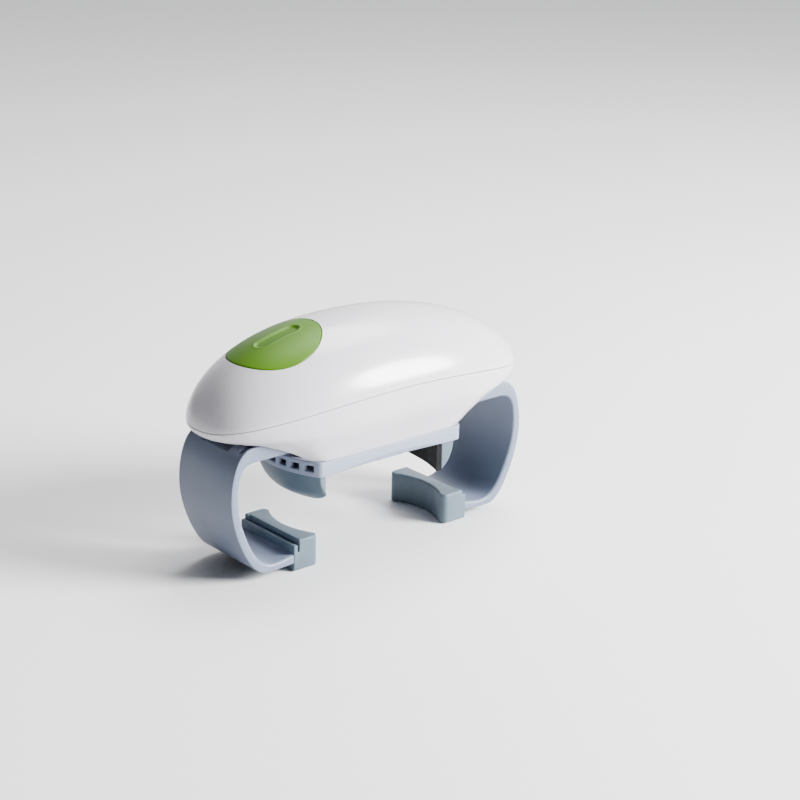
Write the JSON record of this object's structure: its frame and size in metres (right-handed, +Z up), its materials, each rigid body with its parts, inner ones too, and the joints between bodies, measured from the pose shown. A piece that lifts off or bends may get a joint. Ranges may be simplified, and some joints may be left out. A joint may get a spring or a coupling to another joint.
{
  "type": "electric jar opener",
  "caption": "Battery jar opener: long domed white body with a green push button, two sliding C-shaped arms with rubber grips, and a turntable with sliding lid jaws.",
  "frame": {"origin": "on the turntable's axis, in the plane of the arm grips' feet, which is the centre of the bounding box's bottom", "axes": "+X along the long body, towards the battery bay; +Y across it, away from the side that the picture shows; +Z up, the turntable's axis"},
  "size_m": [0.22, 0.092, 0.1346],
  "materials": {
    "white_shell": "satin white",
    "lime_button": "satin lime green",
    "pale_block": "satin pale blue-grey",
    "slate_arm": "matte slate",
    "slate_rubber": "matte slate rubber",
    "slate_jaw": "matte slate",
    "black_rubber": "matte black",
    "natural_plastic": "natural",
    "acetal_gear": "natural acetal",
    "grey_rack": "grey",
    "bush_brass": "satin",
    "steel": "satin",
    "motor_steel": "satin",
    "board_green": "solder mask",
    "black_parts": "moulded",
    "cell_wrap": "plain blue wrap"
  },
  "bodies": {
    "housing": {"upper_shell": "white_shell", "lower_shell": "white_shell", "housing_screws": "steel", "button_guide": "natural_plastic", "guide_screws": "steel", "circuit_board": "board_green", "board_parts": "black_parts", "switch": "black_parts", "turntable_bush": "bush_brass", "motor": "motor_steel", "gear_plate_lower": "natural_plastic", "gear_plate_upper": "natural_plastic", "gear_axles": "steel", "plate_pillars": "steel", "plate_screws": "steel", "frame_screws": "steel", "spindle_bush_lower": "bush_brass", "spindle_bush_upper": "bush_brass", "slide_guide": "natural_plastic", "battery_tray": "natural_plastic", "battery_cells": "cell_wrap", "battery_contacts": "steel"},
    "button_body": {"button": "lime_button", "stem_clip": "steel", "button_spring": "steel"},
    "plunger": {"switch_plunger": "natural_plastic"},
    "door": {"battery_door": "white_shell"},
    "turntable": {"turntable_block": "pale_block", "turntable_cover": "natural_plastic", "cover_screws": "steel", "spindle": "steel", "retaining_ring": "steel", "drive_gear": "acetal_gear"},
    "lid_gear": {"lid_pinion": "acetal_gear"},
    "lid_left": {"lid_jaw_left": "slate_jaw", "lid_pad_left": "black_rubber", "lid_slide_left": "grey_rack"},
    "lid_right": {"lid_jaw_right": "slate_jaw", "lid_pad_right": "black_rubber", "lid_slide_right": "grey_rack"},
    "left_arm": {"arm_left": "slate_arm", "arm_rack_left": "grey_rack", "arm_pad_left": "slate_rubber"},
    "right_arm": {"arm_right": "slate_arm", "arm_rack_right": "grey_rack", "arm_pad_right": "slate_rubber"},
    "arm_gear": {"arm_pinion": "acetal_gear"},
    "slow_gear": {"compound_gear_slow": "acetal_gear"},
    "fast_gear": {"compound_gear_fast": "acetal_gear"},
    "rotor": {"motor_pinion": "bush_brass", "motor_shaft": "steel"}
  },
  "joints": [
    {"name": "button_press", "type": "slide", "parent": "housing", "child": "button_body", "axis": [0, 0, -1], "range_m": [0, 0.002], "stiffness_N_per_m": 900, "springref_m": -0.0015, "deforming": ["button_spring"]},
    {"name": "plunger_slide", "type": "slide", "parent": "housing", "child": "plunger", "axis": [0, 0, -1], "range_m": [0, 0.002]},
    {"name": "battery_door_slide", "type": "slide", "parent": "housing", "child": "door", "axis": [0, 0.7071, 0.7071], "range_m": [0, 0.015]},
    {"name": "turntable_spin", "type": "hinge", "parent": "housing", "child": "turntable", "pos_m": [0, 0, 0.06], "axis": [0, 0, 1], "continuous": true},
    {"name": "lid_jaw_left_slide", "type": "slide", "parent": "turntable", "child": "lid_left", "axis": [1, 0, 0], "range_m": [-0.003, 0.027]},
    {"name": "lid_jaw_right_slide", "type": "slide", "parent": "turntable", "child": "lid_right", "axis": [-1, 0, 0], "range_m": [-0.003, 0.027]},
    {"name": "lid_pinion_spin", "type": "hinge", "parent": "turntable", "child": "lid_gear", "pos_m": [0, 0, 0.0588], "axis": [0, 0, 1], "range_deg": [-22, 194]},
    {"name": "arm_left_slide", "type": "slide", "parent": "housing", "child": "left_arm", "axis": [1, 0, 0], "range_m": [-0.003, 0.027]},
    {"name": "arm_right_slide", "type": "slide", "parent": "housing", "child": "right_arm", "axis": [-1, 0, 0], "range_m": [-0.003, 0.027]},
    {"name": "arm_pinion_spin", "type": "hinge", "parent": "housing", "child": "arm_gear", "pos_m": [0, 0, 0.0728], "axis": [0, 0, 1], "range_deg": [-15, 130]},
    {"name": "slow_gear_spin", "type": "hinge", "parent": "housing", "child": "slow_gear", "pos_m": [0.018, -0.024, 0.085], "axis": [0, 0, 1], "continuous": true},
    {"name": "fast_gear_spin", "type": "hinge", "parent": "housing", "child": "fast_gear", "pos_m": [0.02883, -0.00624, 0.09], "axis": [0, 0, 1], "continuous": true},
    {"name": "motor_spin", "type": "hinge", "parent": "housing", "child": "rotor", "pos_m": [0.01459, 0.00541, 0.1], "axis": [0, 0, 1], "continuous": true}
  ],
  "couplings": [
    {"joint": "plunger_slide", "follows": "button_press", "ratio": 1},
    {"joint": "lid_jaw_right_slide", "follows": "lid_jaw_left_slide", "ratio": 1},
    {"joint": "lid_pinion_spin", "follows": "lid_jaw_left_slide", "rad_per_m": 125},
    {"joint": "arm_right_slide", "follows": "arm_left_slide", "ratio": 1},
    {"joint": "arm_pinion_spin", "follows": "arm_left_slide", "rad_per_m": 83.333},
    {"joint": "slow_gear_spin", "follows": "turntable_spin", "ratio": -4},
    {"joint": "fast_gear_spin", "follows": "turntable_spin", "ratio": 13.333},
    {"joint": "motor_spin", "follows": "turntable_spin", "ratio": -48}
  ]
}
